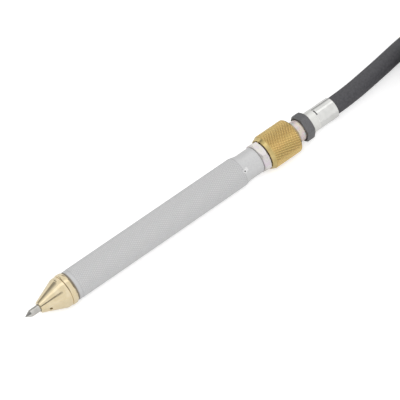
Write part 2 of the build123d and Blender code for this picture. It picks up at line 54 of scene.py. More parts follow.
# Sizes shared with the solids
barrel_radius = 6.5 * mm
barrel_bore_radius = 5 * mm
barrel_chamfer_length = 2.65 * mm
barrel_neck_length = 6.7 * mm
barrel_neck_step = 0.7 * mm
barrel_edge = 0.25 * mm
knob_radius = 7.7 * mm
knob_bore_radius = 4.03 * mm
knob_back_chamfer = 1.5 * mm
knob_back_depth = 2.2 * mm
knob_front_length = 1.6 * mm
knob_front_depth = 0.85 * mm
knob_lip = 0.4 * mm
knob_gap = 0.15 * mm
knob_recess = 1.4 * mm  # room for the stop pin
axis_height = knob_radius  # the pen lies on its knob
lock_screw_setback = 2.3 * mm
lock_screw_angle = 41
lock_screw_radius = 0.82 * mm
lock_screw_top = 6.16 * mm  # distance from the pen's axis
exhaust_hole_setback = 3.3 * mm
exhaust_hole_angle = 80
exhaust_hole_radius = 0.55 * mm
nut_flats = 11 * mm
nut_rim_radius = 5.36 * mm
nut_thread_radius = 4.32 * mm
nut_thread_length = 2.82 * mm
nut_lip_radius = 3.42 * mm
hose_diameter = 8 * mm
hose_low = 5.55 * mm  # height of the hose's axis where it lies on the floor
ferrule_depth = 9.65 * mm  # how far the hose goes into its ferrule
plug_depth = 9 * mm  # how far the plug's barbed end goes into the hose

# Knurls. A flat is a share of half a diamond.
barrel_starts = 43
barrel_knurl_pitch = 1.64 * mm
barrel_knurl_depth = 0.15 * mm
barrel_knurl_flat = 0.3
barrel_plain_front = 1.6 * mm
knob_starts = 52
knob_knurl_pitch = 0.95 * mm
knob_knurl_depth = 0.2 * mm
knob_knurl_flat = 0.15

# Lock screw's socket, from its floor, painted black as shade, up to its bright rim, and the milled flat
# beside the screw
lock_socket_floor = lock_screw_top - 0.5 * mm
lock_socket_rim = lock_screw_top - 0.1 * mm
lock_flat_setback = 1.2 * mm
lock_flat_angle = 37
lock_flat_radius = 0.9 * mm
lock_flat_height = 5.9 * mm  # distance from the pen's axis
cutter_overshoot = 1 * mm

# Rear edge of the nose's collar, rounded more than in its solid
nose_collar_radius = 6.85 * mm
nose_solid_round = 0.25 * mm
nose_round_slack = 0.1  # share of the solid's rounding that a point may lie outside it
nose_round_length = 1.4 * mm
nose_round_depth = 0.5 * mm

# Wear on the nut
nut_points = 180
nut_rounding = 24  # the higher, the sharper its corners
nut_edge = 0.15 * mm
nut_edge_slope = 0.6
nut_edge_steps = 6
nut_countersink = 0.6 * mm

# Stylus spring
spring_turns = 6
spring_points = 12  # in a turn
spring_wire = 0.5 * mm
spring_radius = 1.95 * mm

# Hank of the put-away hose
hank_x = 181.5 * mm
loop_count = 4
loop_points = 16
half_loop = loop_points // 2
quarter_loop = loop_points // 4
hank_end = loop_points * loop_count
fold_radius = 24.5 * mm
fold_reach = 1.07  # how far the curve's points lie outside a fold's arc
loop_step = 9.3 * mm
layer_step = 8.5 * mm
run_half = 37.5 * mm
waist_depth = 8 * mm  # how far the hose is drawn in at its waist
waist_pull = 9.3 * mm  # how far the curve's points are drawn in there
middle_pull = 4 * mm
lead_y = 6.2 * mm  # of the stretch that leads into the hank
lead_fold = fold_radius + loop_step * (1 + 2 / loop_points)  # two points before the first loop
hank_middle = lead_y - lead_fold

# Strap round the hank
strap_width = 8 * mm
strap_thickness = 1 * mm
strap_clearance = 0.5 * mm
strap_corner_steps = 8
strap_edge_steps = 6

# Angles, in degrees, above which an edge stays sharp
metal_crease = 25
strap_crease = 40


def put(name, data):
    """New object in the scene."""
    piece = bpy.data.objects.new(name, data)
    bpy.context.scene.collection.objects.link(piece)
    return piece


def new_piece(name, points, faces, body):
    """Mesh piece from points and faces, riding on a body."""
    mesh = bpy.data.meshes.new(name)
    mesh.from_pydata(points, [], faces)
    work = bmesh.new()
    work.from_mesh(mesh)
    bmesh.ops.recalc_face_normals(work, faces=work.faces)
    work.to_mesh(mesh)
    work.free()
    piece = put(name, mesh)
    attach(piece, body)
    return piece


def shade_by_angle(piece, degrees):
    """Smooth faces, with edges sharper than the angle kept sharp."""
    piece.data.shade_smooth()
    piece.data.set_sharp_from_angle(angle=math.radians(degrees))


def flattened(piece):
    """Mesh of a piece with its modifiers and curve bevel worked out."""
    bpy.context.view_layer.update()
    return bpy.data.meshes.new_from_object(piece.evaluated_get(bpy.context.evaluated_depsgraph_get()))


class Lathe:
    """Points and faces of a shape turned about the pen's axis, in rings of the same number of points."""

    def __init__(self, count):
        self.count = count
        self.points = []
        self.faces = []

    def point(self, x, radius, turn):
        """New point, with its turn counted in points of a ring. Gives its number."""
        angle = 2 * math.pi * turn / self.count
        self.points.append((x, -radius * math.sin(angle), axis_height + radius * math.cos(angle)))
        return len(self.points) - 1

    def ring(self, x, radius):
        """Round ring of new points."""
        return [self.point(x, radius, turn) for turn in range(self.count)]

    def bridge(self, first, second):
        """Faces between two rings."""
        for turn in range(self.count):
            after = (turn + 1) % self.count
            self.faces.append((first[turn], first[after], second[after], second[turn]))

    def join(self, last, rings):
        """Bridges a ring to a row of others. Gives the last one."""
        for made in rings:
            self.bridge(last, made)
            last = made
        return last

    def outline(self, last, places):
        """Joins a ring to new ones through a list of (x, radius). Gives the last one."""
        return self.join(last, [self.ring(x, radius) for x, radius in places])

    def knurl(self, first, start, end, crest, depth, pitch, flat):
        """Diamond knurl with flat tops, from a ring at start to a new one at end. Gives that one."""
        rows = 2 * round((end - start) / pitch)
        step = (end - start) / rows
        grid = [first]
        for row in range(1, rows):
            grid.append({turn: self.point(start + row * step, crest - depth, turn)
                         for turn in range(row % 2, self.count, 2)})
        grid.append(self.ring(end, crest - depth))
        for row in range(1, rows):
            x = start + row * step
            for turn in range((row + 1) % 2, self.count, 2):
                corners = [
                    grid[row - 1][turn], grid[row][(turn + 1) % self.count],
                    grid[row + 1][turn], grid[row][(turn - 1) % self.count],
                ]
                tops = [
                    self.point(x - flat * step, crest, turn), self.point(x, crest, turn + flat),
                    self.point(x + flat * step, crest, turn), self.point(x, crest, turn - flat),
                ]
                self.faces.append(tops)
                for side in range(4):
                    after = (side + 1) % 4
                    self.faces.append((corners[side], corners[after], tops[after], tops[side]))
        for edge, inner in ((grid[0], grid[1]), (grid[-1], grid[-2])):
            for turn in inner:
                before = (turn - 1) % self.count
                after = (turn + 1) % self.count
                self.faces.append((edge[before], edge[turn], inner[turn]))
                self.faces.append((edge[turn], edge[after], inner[turn]))
        return grid[-1]


# Shader nodes
texture_low = 0.3  # most of a texture's values lie between these two
texture_high = 0.7


def socket(node, name, value):
    """Sets a node's own input."""
    node.inputs[name].default_value = value


def object_place(tree):
    """Place of a point in its object's frame."""
    return tree.nodes.new("ShaderNodeTexCoord").outputs["Object"]


def vector_math(tree, operation, vector, other=(0, 0, 0)):
    """Outputs of a node that works on a vector and a fixed one."""
    node = tree.nodes.new("ShaderNodeVectorMath")
    node.operation = operation
    socket(node, 1, other)
    tree.links.new(vector, node.inputs[0])
    return node.outputs


def larger(tree, first, second):
    """Larger of two values."""
    node = tree.nodes.new("ShaderNodeMath")
    node.operation = "MAXIMUM"
    tree.links.new(first, node.inputs[0])
    tree.links.new(second, node.inputs[1])
    return node.outputs["Value"]


def remapped(tree, value, start, end, low=0.0, high=1.0):
    """Value between start and end, spread from low to high."""
    node = tree.nodes.new("ShaderNodeMapRange")
    socket(node, "From Min", start)
    socket(node, "From Max", end)
    socket(node, "To Min", low)
    socket(node, "To Max", high)
    tree.links.new(value, node.inputs["Value"])
    return node.outputs["Result"]


def spread(tree, texture, low, high):
    """Texture's value spread from low to high."""
    return remapped(tree, texture, texture_low, texture_high, low, high)


def ramp(tree, texture, tints):
    """Colour that runs through tints at even steps of a texture's value."""
    node = tree.nodes.new("ShaderNodeValToRGB")
    stops = node.color_ramp.elements
    for index, tint in enumerate(tints):
        position = texture_low + (texture_high - texture_low) * index / (len(tints) - 1)
        stop = stops[index] if index < 2 else stops.new(position)
        stop.position = position
        stop.color = (*tint, 1)
    tree.links.new(texture, node.inputs["Fac"])
    return node.outputs["Color"]


def mixed_colour(tree, share, first, second):
    """Colour that is the first, a fixed one, where share is 0 and the second where it is 1."""
    node = tree.nodes.new("ShaderNodeMixRGB")
    socket(node, "Color1", (*first, 1))
    tree.links.new(share, node.inputs["Fac"])
    tree.links.new(second, node.inputs["Color2"])
    return node.outputs["Color"]


def mixed(tree, share, first, second):
    """Shader that is the first one where share is 0 and the second where it is 1."""
    node = tree.nodes.new("ShaderNodeMixShader")
    tree.links.new(share, node.inputs["Fac"])
    tree.links.new(first, node.inputs[1])
    tree.links.new(second, node.inputs[2])
    return node.outputs["Shader"]


def noise(tree, grain, stretch=(1, 1, 1), detail=4):
    """Noise with grains of a size in metres, longer along axes with a small stretch."""
    scale = tree.nodes.new("ShaderNodeMapping")
    socket(scale, "Scale", [share / grain for share in stretch])
    tree.links.new(object_place(tree), scale.inputs["Vector"])
    node = tree.nodes.new("ShaderNodeTexNoise")
    socket(node, "Scale", 1)
    socket(node, "Detail", detail)
    tree.links.new(scale.outputs["Vector"], node.inputs["Vector"])
    return node.outputs["Fac"]


def bump(tree, shader, height, depth):
    """Bump of a depth in metres from a texture's value."""
    node = tree.nodes.new("ShaderNodeBump")
    socket(node, "Strength", 1)
    socket(node, "Distance", depth)
    tree.links.new(height, node.inputs["Height"])
    tree.links.new(node.outputs["Normal"], shader.inputs["Normal"])


def material(name, colour, roughness, metallic=0.0):
    """Principled material with one colour, and its nodes."""
    made = bpy.data.materials.new(name)
    made.use_nodes = True
    shader = made.node_tree.nodes["Principled BSDF"]
    socket(shader, "Base Color", (*colour, 1))
    socket(shader, "Roughness", roughness)
    socket(shader, "Metallic", metallic)
    return made, made.node_tree, shader


def textured(tree, shader, colour, roughness, height, depth):
    """Gives a shader its colour, roughness and bump from textures."""
    tree.links.new(colour, shader.inputs["Base Color"])
    tree.links.new(roughness, shader.inputs["Roughness"])
    bump(tree, shader, height, depth)


def turned_metal(name, dark, light, smooth, rough, line_depth):
    """Metal off a lathe: faint rings round the axis, small stains, and roughness that varies with them."""
    stain_size = 2.5 * mm
    ring_width = 0.12 * mm
    ring_stretch = (1, 0.004, 0.004)
    made, tree, shader = material(name, light, rough, metallic=1.0)
    stains = noise(tree, stain_size)
    rings = noise(tree, ring_width, ring_stretch, detail=2)
    colour = ramp(tree, stains, [dark, light])
    textured(tree, shader, colour, spread(tree, rings, smooth, rough), rings, line_depth)
    return made


def relief_metal(name, groove_painted_shade, crests, root, top, smooth, rough, metallic=1.0):
    """Metal in relief: a painted shade colour at the root's distance from the axis, darkening its grooves,
    and stained crests at the top's.
    """
    stain_size = 4 * mm
    stain_depth = 0.004 * mm
    made, tree, shader = material(name, groove_painted_shade, rough, metallic)
    across = vector_math(tree, "MULTIPLY", object_place(tree), (0, 1, 1))["Vector"]
    away = vector_math(tree, "DISTANCE", across, (0, 0, axis_height))["Value"]
    stains = noise(tree, stain_size)
    colour = mixed_colour(tree, remapped(tree, away, root, top), groove_painted_shade, ramp(tree, stains, crests))
    textured(tree, shader, colour, spread(tree, stains, smooth, rough), stains, stain_depth)
    return made


def brown_holes(made, x, angle, radius, brown):
    """Dull brown walls in a metal's holes, which are drilled through the pen's axis along one line."""
    margin = 1.02  # times the holes' radius
    tree = made.node_tree
    shader = tree.nodes["Principled BSDF"]
    turn = math.radians(angle)
    offset = vector_math(tree, "SUBTRACT", object_place(tree), (x, 0, axis_height))["Vector"]
    moment = vector_math(tree, "CROSS_PRODUCT", offset, (0, -math.sin(turn), math.cos(turn)))["Vector"]
    away = vector_math(tree, "LENGTH", moment)["Value"]
    outside = tree.nodes.new("ShaderNodeMath")
    outside.operation = "GREATER_THAN"
    socket(outside, 1, margin * radius)
    tree.links.new(away, outside.inputs[0])
    metal = shader.inputs["Base Color"].links[0].from_socket
    colour = mixed_colour(tree, outside.outputs["Value"], brown, metal)
    tree.links.new(colour, shader.inputs["Base Color"])
    tree.links.new(outside.outputs["Value"], shader.inputs["Metallic"])


def passivated(name, tints, smooth, rough):
    """Satin zinc plate with the faint rainbow tints of its passivation."""
    film_size = 3.5 * mm
    grain_size = 0.3 * mm
    grain_depth = 0.003 * mm
    made, tree, shader = material(name, tints[0], rough, metallic=0.7)
    film = noise(tree, film_size, detail=1)
    grains = noise(tree, grain_size)
    textured(tree, shader, ramp(tree, film, tints), spread(tree, grains, smooth, rough), grains, grain_depth)
    return made


def grained(name, dark, light, grain, smooth, rough, depth, metallic=0.0):
    """Surface with a fine grain in its colour, gloss and height."""
    made, tree, shader = material(name, light, rough, metallic)
    value = noise(tree, grain)
    colour = ramp(tree, value, [dark, light])
    textured(tree, shader, colour, spread(tree, value, smooth, rough), value, depth)
    return made


def woven(name, dark, light, thread):
    """Webbing with threads crossing each other."""
    thread_depth = 0.15 * mm
    bands = 0.05 * 2 * math.pi / thread  # the scale that gives one wave for each thread
    made, tree, shader = material(name, light, roughness=0.9)
    place = object_place(tree)
    waves = []
    for direction in ("X", "Z"):
        wave = tree.nodes.new("ShaderNodeTexWave")
        wave.bands_direction = direction
        socket(wave, "Scale", bands)
        tree.links.new(place, wave.inputs["Vector"])
        waves.append(wave.outputs["Fac"])
    threads = larger(tree, *waves)
    tree.links.new(ramp(tree, threads, [dark, light]), shader.inputs["Base Color"])
    bump(tree, shader, threads, thread_depth)
    return made


# Finishes
nose_brass = turned_metal(
    "nose_brass", dark=(0.74, 0.62, 0.40), light=(0.81, 0.70, 0.49),
    smooth=0.05, rough=0.11, line_depth=0.0004 * mm,
)
exhaust_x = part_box("nose_cone")[0].x + exhaust_hole_setback
brown_holes(nose_brass, exhaust_x, exhaust_hole_angle, exhaust_hole_radius, brown=(0.28, 0.19, 0.08))
# The knob's grooves take a darker brass, painted shade between the knurl's diamonds.
knob_brass = relief_metal(
    "knob_brass", groove_painted_shade=(0.55, 0.40, 0.15), crests=[(0.85, 0.67, 0.29), (0.94, 0.66, 0.30)],
    root=knob_radius - knob_knurl_depth, top=knob_radius, smooth=0.18, rough=0.28,
)
# Smoother turned brass for the knob's front slope and back chamfer; its colour is darkened as painted shade,
# standing in for the dark reflections there.
slope_brass_painted_shade = turned_metal(
    "slope_brass_painted_shade", dark=(0.52, 0.40, 0.16), light=(0.68, 0.54, 0.25),
    smooth=0.08, rough=0.14, line_depth=0.0004 * mm,
)
# The screw's socket floor is painted black, a painted shade for the shadow in the socket.
screw_with_painted_socket_shade = relief_metal(
    "screw_with_painted_socket_shade", groove_painted_shade=(0.02, 0.02, 0.02), crests=[(0.80, 0.80, 0.80), (0.88, 0.88, 0.88)],
    root=lock_socket_floor, top=lock_socket_rim, smooth=0.1, rough=0.2,
)
# The barrel's grooves take a darker grey, painted shade between the knurl's diamonds.
barrel_aluminium = relief_metal(
    "barrel_aluminium", groove_painted_shade=(0.49, 0.49, 0.495), crests=[(0.60, 0.60, 0.605), (0.63, 0.63, 0.63)],
    root=barrel_radius - barrel_knurl_depth, top=barrel_radius, smooth=0.42, rough=0.58, metallic=0.25,
)
plain_aluminium = grained(
    "plain_aluminium", dark=(0.55, 0.55, 0.555), light=(0.62, 0.62, 0.62),
    grain=0.6 * mm, smooth=0.36, rough=0.5, depth=0.005 * mm, metallic=0.25,
)
milled_aluminium = grained(
    "milled_aluminium", dark=(0.70, 0.70, 0.70), light=(0.80, 0.80, 0.80),
    grain=0.3 * mm, smooth=0.2, rough=0.32, depth=0.002 * mm, metallic=1.0,
)
stem_plate = passivated(
    "stem_plate", smooth=0.26, rough=0.38,
    tints=[(0.69, 0.61, 0.66), (0.71, 0.66, 0.69), (0.70, 0.68, 0.63), (0.68, 0.62, 0.67)],
)
zinc_plate = passivated(
    "zinc_plate", smooth=0.26, rough=0.38,
    tints=[
        (0.60, 0.67, 0.62), (0.70, 0.56, 0.60), (0.70, 0.65, 0.52), (0.69, 0.57, 0.60), (0.61, 0.66, 0.61),
    ],
)
nickel_plate = turned_metal(
    "nickel_plate", dark=(0.69, 0.69, 0.67), light=(0.77, 0.77, 0.75),
    smooth=0.07, rough=0.14, line_depth=0.0006 * mm,
)
satin_plate = grained(
    "satin_plate", dark=(0.74, 0.74, 0.71), light=(0.83, 0.83, 0.80),
    grain=0.3 * mm, smooth=0.34, rough=0.48, depth=0.004 * mm, metallic=0.9,
)
nut_steel = grained(
    "nut_steel", dark=(0.13, 0.13, 0.135), light=(0.18, 0.18, 0.185),
    grain=0.4 * mm, smooth=0.36, rough=0.52, depth=0.006 * mm, metallic=0.7,
)
carbide = turned_metal(
    "carbide", dark=(0.48, 0.47, 0.44), light=(0.60, 0.59, 0.56),
    smooth=0.08, rough=0.16, line_depth=0.001 * mm,
)
steel = turned_metal(
    "steel", dark=(0.50, 0.50, 0.52), light=(0.62, 0.62, 0.64),
    smooth=0.22, rough=0.34, line_depth=0.001 * mm,
)
bronze = grained(
    "bronze", dark=(0.30, 0.17, 0.07), light=(0.48, 0.29, 0.13),
    grain=0.25 * mm, smooth=0.5, rough=0.75, depth=0.03 * mm, metallic=0.9,
)
fibre = grained(
    "fibre", dark=(0.30, 0.30, 0.30), light=(0.40, 0.40, 0.39),
    grain=0.3 * mm, smooth=0.6, rough=0.8, depth=0.01 * mm,
)
brown_fibre = grained(
    "brown_fibre", dark=(0.16, 0.133, 0.093), light=(0.27, 0.225, 0.16),
    grain=0.3 * mm, smooth=0.6, rough=0.8, depth=0.01 * mm,
)
seal_rubber = grained(
    "seal_rubber", dark=(0.012, 0.012, 0.012), light=(0.025, 0.025, 0.025),
    grain=0.3 * mm, smooth=0.5, rough=0.7, depth=0.004 * mm,
)
hose_rubber = grained(
    "hose_rubber", dark=(0.052, 0.051, 0.057), light=(0.088, 0.087, 0.094),
    grain=0.9 * mm, smooth=0.62, rough=0.8, depth=0.05 * mm,
)
strap_fabric = woven(
    "strap_fabric", dark=(0.012, 0.012, 0.014), light=(0.05, 0.05, 0.055), thread=0.6 * mm,
)

node_materials = {
    "stylus_point": carbide,
    "stylus_anvil": steel,
    "stylus_bush": bronze,
    "nose_gasket": brown_fibre,
    "anvil_guide": bronze,
    "cylinder_liner": steel,
    "liner_seal_ring": seal_rubber,
    "piston": steel,
    "cylinder_head": steel,
    "stack_washer": steel,
    "barrel_lock_screw": screw_with_painted_socket_shade,
    "stem_gasket": fibre,
    "throttle_stem": stem_plate,
    "throttle_seal_front": seal_rubber,
    "throttle_seal_rear": seal_rubber,
    "throttle_stop_pin": steel,
    "inlet_filter": bronze,
    "inlet_nipple": zinc_plate,
    "nipple_washer": seal_rubber,
    "hose_tail": steel,
    "tail_collar": satin_plate,
    "crimp_ferrule": nickel_plate,
    "plug_ferrule": nickel_plate,
    "air_plug": nickel_plate,
}
for name, finish in node_materials.items():
    nodes[name].material_slots[0].material = finish


def radial_cutter(x, angle, radius, inner, outer, finish):
    """Round cutter along a radius of the pen, with the finish that it leaves."""
    bpy.ops.mesh.primitive_cylinder_add(vertices=32, radius=radius, depth=outer - inner)
    cutter = bpy.context.object
    turn = math.radians(angle)
    middle = (inner + outer) / 2
    cutter.location = (x, -middle * math.sin(turn), axis_height + middle * math.cos(turn))
    cutter.rotation_euler = (turn, 0, 0)
    cutter.data.materials.append(finish)
    return cutter


def cut(piece, cutter):
    """Takes a cutter's shape out of a piece."""
    change = piece.modifiers.new("hole", "BOOLEAN")
    change.operation = "DIFFERENCE"
    change.solver = "EXACT"
    change.material_mode = "TRANSFER"
    change.object = cutter
    piece.data = flattened(piece)
    piece.modifiers.clear()
    bpy.data.objects.remove(cutter)


def finish_ends(piece, start, end, finish):
    """Gives another finish to the faces ahead of start and behind end."""
    piece.data.materials.append(finish)
    for face in piece.data.polygons:
        if not start < face.center.x < end:
            face.material_index = 1


def nose_piece():
    """Brass nose with the rear edge of its collar drawn out into a longer rounding."""
    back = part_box("nose_gasket")[0].x
    least = -nose_round_slack
    most = 1 + nose_round_slack
    mesh = nodes["nose_cone"].data.copy()
    for vertex in mesh.vertices:
        arm = Vector((0, vertex.co.y, vertex.co.z - axis_height))
        ahead = (back - vertex.co.x) / nose_solid_round
        drop = (nose_collar_radius - arm.length) / nose_solid_round
        if least < ahead < most and least < drop < most:
            vertex.co -= arm.normalized() * drop * (nose_round_depth - nose_solid_round)
            vertex.co.x = back - ahead * nose_round_length
    mesh.materials[0] = nose_brass
    piece = put("rounded_nose", mesh)
    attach(piece, "pen")
    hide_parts("nose_cone")


def barrel_piece():
    """Knurled grip with a plain front band, a chamfer, a plain neck and a small milled flat."""
    low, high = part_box("barrel")
    radius = (high.y - low.y) / 2
    neck = radius - barrel_neck_step
    neck_front = high.x - barrel_neck_length
    shoulder = neck_front - barrel_chamfer_length
    root = radius - barrel_knurl_depth
    # The plain front band lies halfway down the knurl, so the painted groove shade gives it a tone halfway
    # between groove and crest.
    band = radius - barrel_knurl_depth / 2
    knurl_front = low.x + barrel_plain_front
    lathe = Lathe(2 * barrel_starts)
    first = lathe.ring(low.x, barrel_bore_radius)
    last = lathe.outline(first, [
        (low.x, band - barrel_edge), (low.x + barrel_edge, band),
        (knurl_front - barrel_knurl_depth / 2, band), (knurl_front, root),
    ])
    last = lathe.knurl(last, knurl_front, shoulder, crest=radius, depth=barrel_knurl_depth,
                       pitch=barrel_knurl_pitch, flat=barrel_knurl_flat)
    last = lathe.outline(last, [
        (neck_front, neck), (high.x - barrel_edge, neck), (high.x, neck - barrel_edge),
        (high.x, barrel_bore_radius),
    ])
    lathe.bridge(last, first)
    piece = new_piece("knurled_barrel", lathe.points, lathe.faces, "pen")
    piece.data.materials.append(barrel_aluminium)
    finish_ends(piece, low.x, shoulder, plain_aluminium)
    clear = radius + cutter_overshoot
    cut(piece, radial_cutter(neck_front - lock_screw_setback, lock_screw_angle, lock_screw_radius,
                             barrel_bore_radius, clear, plain_aluminium))
    cut(piece, radial_cutter(neck_front - lock_flat_setback, lock_flat_angle, lock_flat_radius,
                             lock_flat_height, clear, milled_aluminium))
    shade_by_angle(piece, metal_crease)
    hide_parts("barrel")


def knob_piece():
    """Knurled throttle knob with a plain sloping front and a chamfered back."""
    low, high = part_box("throttle_knob")
    radius = (high.y - low.y) / 2
    root = radius - knob_knurl_depth
    face = radius - knob_front_depth
    front = low.x + knob_gap
    floor = low.x + knob_recess
    knurl_front = low.x + knob_front_length
    chamfer = high.x - knob_back_chamfer
    lathe = Lathe(2 * knob_starts)
    first = lathe.ring(floor, knob_bore_radius)
    last = lathe.outline(first, [
        (floor, face - knob_lip), (front, face - knob_lip), (front, face - knob_lip / 2),
        (front + knob_lip / 4, face), (knurl_front, root),
    ])
    last = lathe.knurl(last, knurl_front, chamfer, crest=radius, depth=knob_knurl_depth,
                       pitch=knob_knurl_pitch, flat=knob_knurl_flat)
    last = lathe.outline(last, [(high.x, radius - knob_back_depth), (high.x, knob_bore_radius)])
    lathe.bridge(last, first)
    piece = new_piece("knurled_knob", lathe.points, lathe.faces, "knob")
    piece.data.materials.append(knob_brass)
    finish_ends(piece, knurl_front, chamfer, slope_brass_painted_shade)
    shade_by_angle(piece, metal_crease)
    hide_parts("throttle_knob")


def hex_reach(share):
    """Distance from the axis to a hex with flats at both sides and worn corners, at a share of a turn."""
    angle = 2 * math.pi * share
    sides = [abs(math.cos(angle - math.pi / 6 - math.pi / 3 * side)) for side in range(3)]
    return nut_flats / 2 / sum(side ** nut_rounding for side in sides) ** (1 / nut_rounding)


def nut_piece():
    """Dark hex nut with its corners and edges worn round."""
    low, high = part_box("union_nut")
    lathe = Lathe(nut_points)

    def worn_ring(end, inward, angle):
        """Ring on the rounding from an end face, at angle 0, to the flats, at a right angle."""
        made = []
        for turn in range(lathe.count):
            rise = hex_reach(turn / lathe.count) - nut_rim_radius
            depth = (nut_edge + rise * nut_edge_slope) * (1 - math.cos(angle))
            made.append(lathe.point(end + inward * depth, nut_rim_radius + rise * math.sin(angle), turn))
        return made

    angles = [math.pi / 2 * step / nut_edge_steps for step in range(nut_edge_steps + 1)]
    rings = [worn_ring(low.x, 1, angle) for angle in angles]
    rings += [worn_ring(high.x, -1, angle) for angle in reversed(angles)]
    first = lathe.ring(low.x + nut_countersink, nut_thread_radius)
    seat = low.x + nut_thread_length
    last = lathe.join(first, rings)
    last = lathe.outline(last, [(high.x, nut_lip_radius), (seat, nut_lip_radius), (seat, nut_thread_radius)])
    lathe.bridge(last, first)
    piece = new_piece("worn_nut", lathe.points, lathe.faces, "pen")
    piece.data.materials.append(nut_steel)
    shade_by_angle(piece, metal_crease)
    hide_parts("union_nut")


def curve_piece(name, points, thickness, body):
    """Round bar or tube along a smooth spline through control points."""
    curve = bpy.data.curves.new(name, "CURVE")
    curve.dimensions = "3D"
    curve.bevel_depth = 1  # times each point's radius
    curve.bevel_resolution = 6
    curve.resolution_u = 6
    curve.use_fill_caps = True
    spline = curve.splines.new("NURBS")
    spline.points.add(len(points) - 1)
    for point, place in zip(spline.points, points):
        point.co = (*place, 1)
        point.radius = thickness / 2
    spline.order_u = 3
    spline.use_endpoint_u = True
    piece = put(name, curve)
    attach(piece, body)
    return piece


def spring_piece():
    """Coil spring round the stylus, between the front bush and the anvil's collar."""
    low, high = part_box("stylus_spring")
    length = high.x - low.x
    rise = length - spring_wire
    steps = spring_points * spring_turns
    points = []
    for step in range(steps + 1):
        angle = 2 * math.pi * step / spring_points
        points.append((
            low.x + spring_wire / 2 + rise * step / steps,
            spring_radius * math.cos(angle), axis_height + spring_radius * math.sin(angle),
        ))
    coil = curve_piece("spring_line", points, spring_wire, "pen")
    piece = put("stylus_coil", flattened(coil))
    bpy.data.objects.remove(coil)
    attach(piece, "pen")
    piece.data.materials.append(steel)
    piece.data.shade_smooth()
    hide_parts("stylus_spring")
    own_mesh(piece)


plug_low, plug_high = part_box("air_plug")
plug_y = (plug_low.y + plug_high.y) / 2
plug_z = (plug_low.z + plug_high.z) / 2
ferrule_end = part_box("crimp_ferrule")[1].x
free_route = [
    (ferrule_end - ferrule_depth, 0, axis_height),
    (ferrule_end + 7 * mm, 0, axis_height),
    (ferrule_end + 23 * mm, 1.8 * mm, axis_height),
    (ferrule_end + 34 * mm, 3.5 * mm, 7.2 * mm),
    (ferrule_end + 42 * mm, 5.2 * mm, 6.15 * mm),
    (ferrule_end + 49.5 * mm, lead_y, hose_low),
    (hank_x - run_half - hose_diameter, lead_y, hose_low),
    (hank_x - run_half, lead_y, hose_low),
    (hank_x - run_half / 2, lead_y - middle_pull, hose_low),
]


def eased(share):
    """Smooth rise from 0 to 1."""
    share = min(share, 1)
    return share * share * (3 - 2 * share)


def hank_height(step):
    """Height of the hose's axis at a point of the hank: a loop climbs one layer along its upper run."""
    last_rise = hank_end - quarter_loop
    if step > last_rise:
        below = hank_height(last_rise)
        return below + (plug_z - below) * eased((step - last_rise) / quarter_loop)
    climbed = (step + quarter_loop) // loop_points - 1
    return hose_low + layer_step * max(climbed + eased((step + quarter_loop) % loop_points / half_loop), 0)


def hank_point(step):
    """Point of the hose's spline in the hank, counted from the upper waist round by the far fold."""
    fold = fold_radius + loop_step * abs(1 - step % (2 * loop_points) / loop_points)
    diagonal = fold * fold_reach * math.sqrt(0.5)
    quarter = [
        (0, fold - waist_pull), (run_half / 2, fold - middle_pull), (run_half, fold),
        (run_half + diagonal, diagonal), (run_half + fold * fold_reach, 0),
    ]
    place = step % loop_points
    from_waist = place % half_loop
    x, y = quarter[min(from_waist, half_loop - from_waist)]
    right = 1 if place < half_loop else -1
    upper = 1 if place < quarter_loop or place > loop_points - quarter_loop else -1
    return hank_x + right * x, hank_middle + upper * y, hank_height(step)


def hose_piece():
    """The whole hose: the free stretch, the tied hank and the end in the plug."""
    points = free_route + [hank_point(step) for step in range(hank_end)]
    points += [(x, plug_y, plug_z) for x in (hank_x, hank_x + hose_diameter, plug_low.x + plug_depth)]
    piece = curve_piece("hose", points, hose_diameter, "pen")
    piece.data.materials.append(hose_rubber)
    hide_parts("air_hose", "hose_hank")
    return piece


def strap_outline():
    """Strap's way round the four strands at the waist: points on their axes with the way out from each."""
    corners = []
    for step in (0, half_loop, hank_end - half_loop):
        x, y, z = hank_point(step)
        side = y - hank_middle
        corners.append((hank_middle + math.copysign(abs(side) + waist_pull - waist_depth, side), z))
    corners.append((plug_y, plug_z))
    outline = []
    for index, (y, z) in enumerate(corners):
        before = corners[index - 1]
        after = corners[(index + 1) % len(corners)]
        start = math.atan2(-(y - before[0]), z - before[1]) + math.pi
        end = math.atan2(-(after[0] - y), after[1] - z) + math.pi
        turn = (start - end) % (2 * math.pi)
        for part in range(strap_corner_steps + 1):
            angle = start - turn * part / strap_corner_steps
            outline.append((y, z, math.cos(angle), math.sin(angle)))
    return outline


def strap_section():
    """Strap's cross section with round edges, as places across it and heights above its inner side."""
    half = strap_width / 2
    edge = strap_thickness / 2
    section = []
    for side, middle in ((1, half - edge), (-1, -half + edge)):
        for part in range(strap_edge_steps + 1):
            angle = math.pi * part / strap_edge_steps - math.pi / 2
            section.append((middle + side * edge * math.cos(angle), edge + side * edge * math.sin(angle)))
    return section


def strap_piece():
    """Webbing strap round the hank's waist."""
    inner = hose_diameter / 2 + strap_clearance
    outline = strap_outline()
    section = strap_section()
    size = len(section)
    points = []
    faces = []
    for y, z, out_y, out_z in outline:
        for x, lift in section:
            points.append((hank_x + x, y + out_y * (inner + lift), z + out_z * (inner + lift)))
    for index in range(len(outline)):
        row = (index + 1) % len(outline)
        for part in range(size):
            after = (part + 1) % size
            faces.append((index * size + part, index * size + after, row * size + after, row * size + part))
    piece = new_piece("hank_strap", points, faces, "pen")
    piece.data.materials.append(strap_fabric)
    shade_by_angle(piece, strap_crease)
    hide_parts("hank_tie")
    return piece


nose_piece()
barrel_piece()
knob_piece()
nut_piece()
spring_piece()
hose = hose_piece()
strap = strap_piece()

